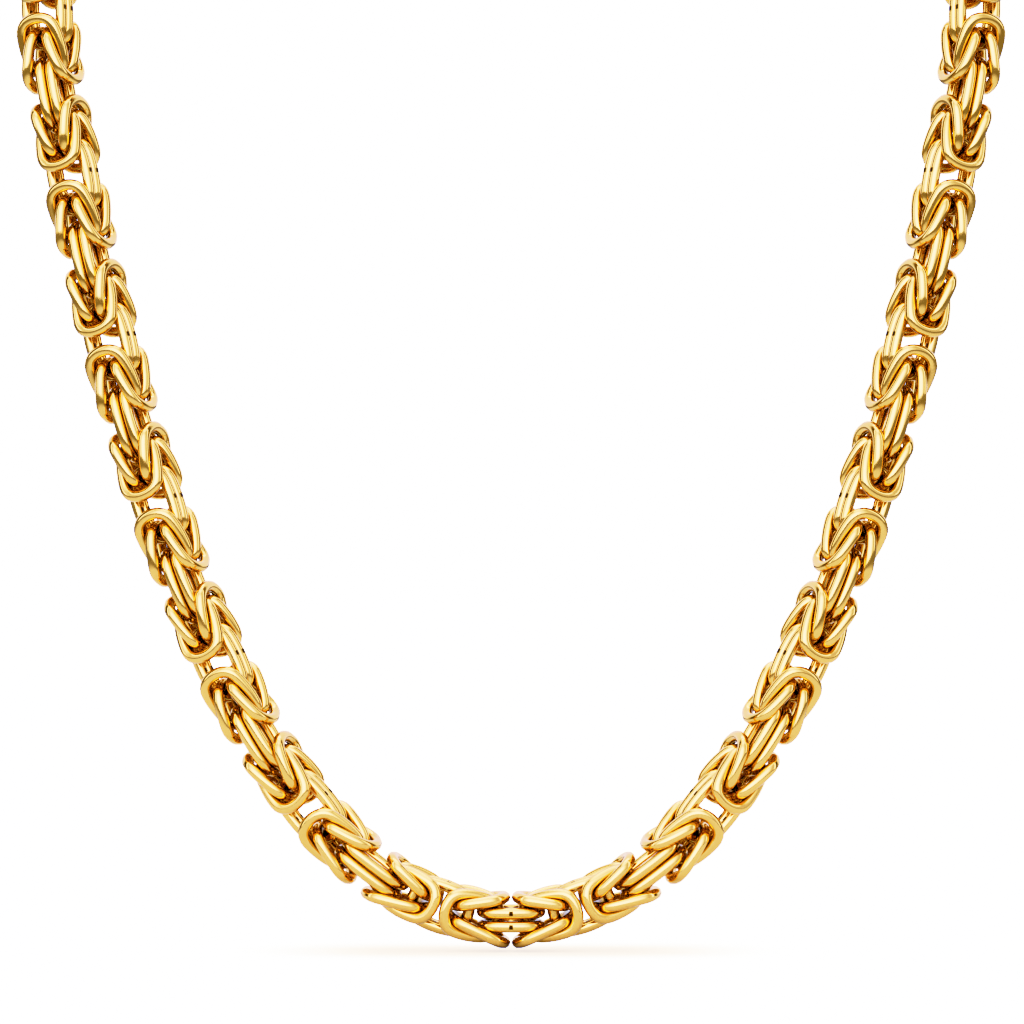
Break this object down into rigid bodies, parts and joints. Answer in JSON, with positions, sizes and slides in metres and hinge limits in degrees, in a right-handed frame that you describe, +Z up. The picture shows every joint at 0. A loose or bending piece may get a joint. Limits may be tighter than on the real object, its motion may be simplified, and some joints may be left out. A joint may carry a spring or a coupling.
{
  "type": "byzantine chain necklace",
  "caption": "Gold necklace of byzantine weave with pairs of connector links, knots of folded-back links and a barrel clasp, held in its hanging form.",
  "frame": {"origin": "the nape, where the middle of the clasp's inner side lies on the back of the neck", "axes": "+X across the neck, -Y out of the chest towards the front, +Z up"},
  "size_m": [0.145, 0.0456, 0.1942],
  "materials": {
    "chain_gold": "high polish",
    "clasp_gold": "polished"
  },
  "bodies": {
    "root": {"chain_left": "chain_gold", "chain_right": "chain_gold", "clasp": "clasp_gold"}
  },
  "joints": []
}
